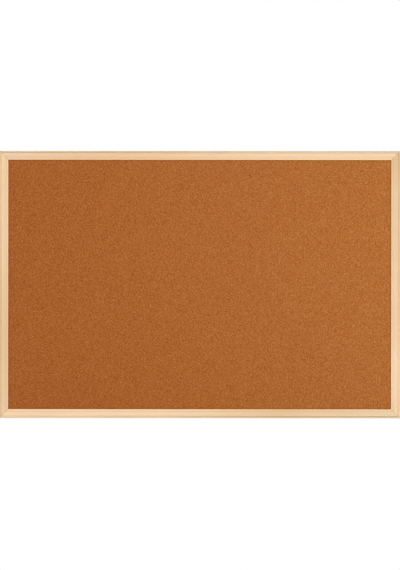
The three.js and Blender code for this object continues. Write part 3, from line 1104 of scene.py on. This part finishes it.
def paper_recipe():
    """A sheet in the XY plane that has cockled a little as its glue dried."""
    r = Recipe(
        "cockled paper",
        {
            "Width": sheet_width,
            "Height": sheet_height,
            "Cell": 5 * MM,
            "Cockle": 0.26 * MM,
            "Wave": 75 * MM,
        },
    )
    given = r.given
    columns = r.math("DIVIDE", given["Width"], given["Cell"])
    rows = r.math("DIVIDE", given["Height"], given["Cell"])
    grid = r.grid(given["Width"], given["Height"], columns, rows)
    x, y, _ = r.parts(r.here())
    wave = r.add(
        "ShaderNodeTexNoise",
        {
            "Vector": r.point(r.product(x, 0.6), y, 0.0),
            "Scale": r.math("DIVIDE", 1.0, given["Wave"]),
            "Detail": 1.5,
        },
    )
    sunk = r.product(r.ranged(wave.outputs["Fac"], 0.25, 0.75, -1.0, 0.0), given["Cockle"])
    return r.end(r.moved(grid, r.point(x, y, sunk)))


def backed(piece, thickness):
    """Closes a sheet whose worked face is up with straight sides and a flat back."""
    with opened(piece.data) as work:
        rim = [edge for edge in work.edges if edge.is_boundary]
        grown = bmesh.ops.extrude_edge_only(work, edges=rim)["geom"]
        for corner in grown:
            if isinstance(corner, bmesh.types.BMVert):
                corner.co.z = -thickness
        loop = [
            item for item in grown if isinstance(item, bmesh.types.BMEdge) and item.is_boundary
        ]
        back = bmesh.ops.contextual_create(work, geom=loop)["faces"]
        sides = [item for item in grown if isinstance(item, bmesh.types.BMFace)]
        layer = work.loops.layers.uv.get("OFBake")
        if layer is not None:
            for corner in [corner for face in back for corner in face.loops]:
                x, y, _ = corner.vert.co
                corner[layer].uv = (x * 0.5 + 0.25, y * 0.5 + 0.15)
            for corner in [corner for face in sides for corner in face.loops]:
                x, y, z = corner.vert.co
                round_rim = math.atan2(y, x) / math.tau + 0.5
                corner[layer].uv = (0.02 + round_rim * 0.96, rim_level + z)
    return piece


def add_sheet(name, node, recipe, finish, facing):
    """A sheet in place of a plain one. The facing turns its worked face out."""
    low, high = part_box(node)
    width, thickness, height = high - low
    sizes = {"Width": width, "Height": height}
    piece = from_recipe(name, bpy.data.meshes.new(name), recipe, finish, sizes)
    worked_y, turn = (low.y, z_to_front) if facing == "front" else (high.y, sheet_to_wall)
    backed(piece, thickness).data.transform(Matrix.Translation((0, worked_y, 0)) @ turn)
    mounted(piece, "board", [node])


def add_panel():
    add_sheet("granule_sheet", "cork_sheet", granule_recipe(), pressed_cork(), "front")
    add_sheet("kraft_sheet", "backing_paper", paper_recipe(), kraft_paper(), "wall")
    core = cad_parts["softboard_core"].data
    core.materials.clear()
    core.materials.append(softboard())


# Hangers
def strap_outline():
    """The folded strap from the side: x out of the frame's back, y up from the hinge."""
    middle = bore_radius + strap_thickness / 2
    bend = fold_radius + strap_thickness / 2
    layer_middle = strap_thickness + strap_gap + strap_thickness / 2
    turn = math.acos((bend + layer_middle - knuckle_radius) / (middle + bend))
    fold = Vector((layer_middle + bend, -(middle + bend) * math.sin(turn)))
    knuckle = Vector((knuckle_radius, 0))
    foot = -screw_drop - strap_width / 2
    return [
        Vector((0, foot)),
        *arc(knuckle, knuckle_radius, math.pi, -turn, 40),
        *arc(fold, fold_radius, math.pi - turn, math.pi),
        Vector((strap_stack, foot)),
        Vector((strap_thickness + strap_gap, foot)),
        *arc(fold, fold_radius + strap_thickness, math.pi, math.pi - turn),
        *arc(knuckle, bore_radius, -turn, math.pi, 32),
        Vector((strap_thickness, foot)),
    ]


def add_strap(side, across, finish):
    at_hinge = Matrix.Translation((across, back_y, hinge_height))
    half = strap_width / 2
    to_side = at_hinge @ section_to_side
    strap = extruded(f"{side}_folded_strap", strap_outline(), -half, half, to_side)

    # The foot is rounded about the screw, whose hole goes through both layers.
    screw_place = Vector((0, -screw_drop))
    above = knuckle_radius + overrun
    behind = -2 * knuckle_radius - overrun
    to_front = at_hinge @ z_to_front
    tongue = arc(screw_place, half, math.pi, math.tau, 36)
    tongue += [Vector((half, above)), Vector((-half, above))]
    hole = disc(screw_place, pilot_radius, 40)
    carved(strap, [extruded("tongue", tongue, behind, overrun, to_front)], "INTERSECT")
    carved(strap, [extruded("hole", hole, behind, overrun, to_front)])
    edge = strap.modifiers.new("eased edges", "BEVEL")
    edge.width = strap_eased
    edge.segments = 3
    edge.limit_method = "ANGLE"
    edge.angle_limit = math.radians(50)
    mounted(sealed(settled(strap)), "board", [f"{side}_hanger_strap"], finish)


def ring_recipe():
    """Sweeps a round wire along a closed line."""
    r = Recipe("bent wire", {"Wire radius": wire_radius, "Sides": 28})
    path = r.add("GeometryNodeMeshToCurve", {0: r.given["Base"]})
    wire = r.add(
        "GeometryNodeCurvePrimitiveCircle",
        {"Resolution": r.given["Sides"], "Radius": r.given["Wire radius"]},
    )
    bent = r.add(
        "GeometryNodeCurveToMesh",
        {"Curve": path.outputs[0], "Profile Curve": wire.outputs[0]},
    )
    return r.end(bent.outputs[0])


def add_ring(side, across, tree, finish):
    """The D-ring hangs from its bar in the knuckle and leans out over the strap."""
    bar_end = ring_radius - ring_bend
    line = [Vector((-bar_end / 2, 0)), Vector((0, 0)), Vector((bar_end / 2, 0))]
    line += arc(Vector((bar_end, -ring_bend)), ring_bend, math.pi / 2, 0, 16)
    line += arc(Vector((0, -ring_leg)), ring_radius, 0, -math.pi, 64)
    line += arc(Vector((-bar_end, -ring_bend)), ring_bend, math.pi, math.pi / 2, 16)
    ring = from_recipe(f"{side}_wire_ring", outline_mesh("ring line", line), tree, finish, {})
    crossing = ring_leg + math.sqrt(ring_radius**2 - (strap_width / 2) ** 2)
    lean = math.asin((strap_stack + strap_gap + wire_radius - knuckle_radius) / crossing)
    hinge = Matrix.Translation((across, back_y + knuckle_radius, hinge_height))
    ring.data.transform(hinge @ Matrix.Rotation(math.pi / 2 + lean, 4, "X"))
    mounted(ring, f"{side}_ring", [f"{side}_hanger_ring"])


def plain_rings(profile):
    """Round rings from a profile of radius and height."""
    return [(up, lambda turn, out=out: out) for out, up in profile]


def crowned(radius, rim, top_radius, top, steps):
    """The profile of a dome that leaves a straight rim and comes in level at its top."""
    profile = []
    for step in range(1, steps + 1):
        share = step / steps
        first, middle, last = (1 - share) ** 2, 2 * share * (1 - share), share**2
        out = first * radius + middle * radius + last * top_radius
        up = first * rim + middle * top + last * top
        profile.append((out, up))
    return profile


def screw_rings():
    """The screw from its point to the top of its head, its seat at height 0."""
    rings = []
    steps = 110
    for step in range(steps + 1):
        height = -screw_length + screw_length * step / steps
        narrowed = min(1, (height + screw_length) / screw_tip)
        cut_in = min(1, max(0, -height - plain_neck) / thread_run_in)
        neck = root_radius + (screw_radius - root_radius) * (1 - cut_in) * 0.6

        def radius(turn, height=height, narrowed=narrowed, cut_in=cut_in, neck=neck):
            phase = (height / thread_pitch - turn / math.tau) % 1
            crest = max(0, 1 - abs(phase - 0.5) / thread_share)
            return max(screw_point, narrowed * (neck + (screw_radius - neck) * crest * cut_in))

        rings.append((height, radius))
    head = [
        (head_radius - head_eased, 0),
        (head_radius, head_eased),
        (head_radius, head_edge),
        *crowned(head_radius, head_edge, head_radius / 2, head_height, 14),
        (head_radius / 4, head_height),
    ]
    return rings + plain_rings(head)


def recess_cutter():
    """A cross that is wide above the head and narrow at its bottom."""
    long = recess_span / 2
    short = recess_slot / 2
    quarter = [Vector((long, -short)), Vector((long, short)), Vector((short, short))]
    cross = []
    for turn in range(4):
        cross += [point @ Matrix.Rotation(-turn * math.pi / 2, 2) for point in quarter]
    cutter = extruded("recess", cross, 0, 1, Matrix())
    for vertex in cutter.data.vertices:
        is_open = vertex.co.z > 0.5
        share = recess_flare_share if is_open else recess_taper_share
        vertex.co.x *= share
        vertex.co.y *= share
        vertex.co.z = head_height + (overrun if is_open else -recess_depth)
    return cutter


def add_screw(side, across, finish):
    seat = Matrix.Translation((across, back_y + strap_stack, hinge_height - screw_drop))
    place = seat @ z_to_wall @ Matrix.Rotation(screw_turns[side], 4, "Z")
    screw = turned_piece(f"{side}_pan_screw", screw_rings(), 40)
    cutter = recess_cutter()
    for piece in (screw, cutter):
        piece.data.transform(place)
    carved(screw, [cutter])
    mounted(screw, "board", [f"{side}_hanger_screw"], finish)


def add_hangers():
    zinc = zinc_plate()
    tree = ring_recipe()
    for side, across in (("left", -hinge_across), ("right", hinge_across)):
        add_strap(side, across, zinc)
        add_ring(side, across, tree, zinc)
        add_screw(side, across, zinc)


# Bumpers
def add_bumper(side, finish):
    low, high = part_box(f"{side}_bumper")
    profile = [
        (bumper_radius - bumper_eased, 0),
        (bumper_radius, bumper_eased),
        (bumper_radius, bumper_rim_height),
        *crowned(bumper_radius, bumper_rim_height, bumper_top_radius, bumper_height, 12),
        (bumper_top_radius * 0.8, bumper_height),
    ]
    bumper = turned_piece(f"{side}_rubber_foot", plain_rings(profile), 56)
    centre = (low + high) / 2
    bumper.data.transform(Matrix.Translation((centre.x, back_y, centre.z)) @ z_to_wall)
    mounted(bumper, "board", [f"{side}_bumper"], finish)


# Studio
def add_floor():
    """A pale floor that keeps the board's shadow and runs out into white."""
    pale = {"Base_Color": (0.86, 0.86, 0.86, 1.0), "Roughness": 0.9, "Specular_IOR_Level": 0.0}
    f = Finish("pale_floor", **pale)
    x, y, _ = f.parts(f.place)
    far = f.product(f.seen(), f.ranged(f.distance(x, y), 0.6, 1.4, 0.35, 1.0, smooth=True))
    white = f.add("ShaderNodeEmission", {"Color": (1.0, 1.0, 1.0, 1.0), "Strength": 1.0})
    mixed = f.add("ShaderNodeMixShader", {0: far, 1: f.shader.outputs[0], 2: white.outputs[0]})
    f.put(f.output.inputs["Surface"], mixed.outputs[0])
    square = [(-floor_reach, -floor_reach), (floor_reach, -floor_reach)]
    square += [(floor_reach, floor_reach), (-floor_reach, floor_reach)]
    mesh = outline_mesh("floor", square, filled=True)
    mesh.transform(Matrix.Translation((0, 0, -board_height / 2)))
    mesh.materials.append(f.material)
    added("floor", mesh)


def add_lamp(name, place, aim, size, power):
    lamp = bpy.data.lights.new(name, "AREA")
    lamp.shape = "RECTANGLE"
    lamp.size, lamp.size_y = size
    lamp.energy = power
    holder = added(name, lamp)
    holder.location = place
    holder.rotation_euler = (Vector(aim) - Vector(place)).to_track_quat("-Z", "Y").to_euler()


def add_studio():
    world = bpy.data.worlds.new("studio")
    bpy.context.scene.world = world
    world.use_nodes = True
    w = Wiring(world.node_tree)
    w.tree.nodes.clear()
    strength = w.ranged(w.seen(), 0.0, 1.0, ambient, 1.0)
    sky = w.add("ShaderNodeBackground", {"Color": (1.0, 1.0, 1.0, 1.0), "Strength": strength})
    w.add("ShaderNodeOutputWorld", {"Surface": sky.outputs[0]})
    for lamp in lamps:
        add_lamp(*lamp)


def add_camera():
    camera = bpy.data.cameras.new("camera")
    camera.type = "ORTHO"
    camera.ortho_scale = picture_height
    holder = added("camera", camera)
    holder.location = camera_place
    holder.rotation_euler = (math.pi / 2, camera_roll, 0)
    bpy.context.scene.camera = holder


add_frame()
add_nails()
add_panel()
add_hangers()
rubber = black_rubber()
add_bumper("left", rubber)
add_bumper("right", rubber)
add_floor()
add_studio()
add_camera()
bpy.context.scene.view_settings.view_transform = "Standard"
